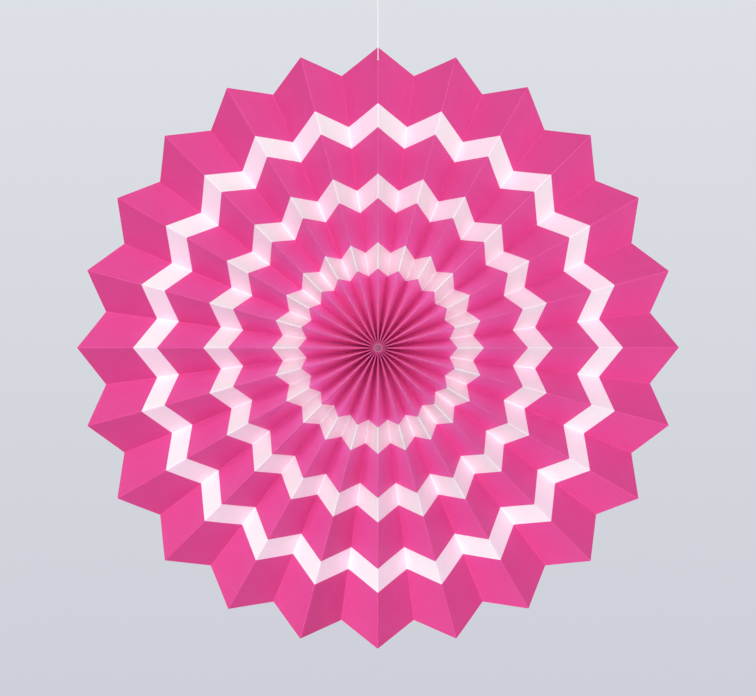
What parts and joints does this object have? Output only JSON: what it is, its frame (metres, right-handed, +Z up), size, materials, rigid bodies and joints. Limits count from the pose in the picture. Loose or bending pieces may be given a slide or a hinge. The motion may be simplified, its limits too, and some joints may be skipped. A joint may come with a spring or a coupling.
{
  "type": "paper fan rosette",
  "caption": "Round hanging decoration of accordion-folded paper with a pointed edge and printed zigzag rings, bunched at its core, on a thread with a hanging loop.",
  "frame": {"origin": "centre of the paper ring, midway through its depth", "axes": "+X right and +Z up as it hangs, -Y out of the printed front; +Y runs through the ring"},
  "size_m": [0.4, 0.0322, 0.4735],
  "materials": {
    "printed_paper": "matte",
    "thread": "matte",
    "glue": "satin"
  },
  "bodies": {
    "root": {"pleated_fan": "printed_paper", "core_glue": "glue", "hanging_thread": "thread"}
  },
  "joints": []
}
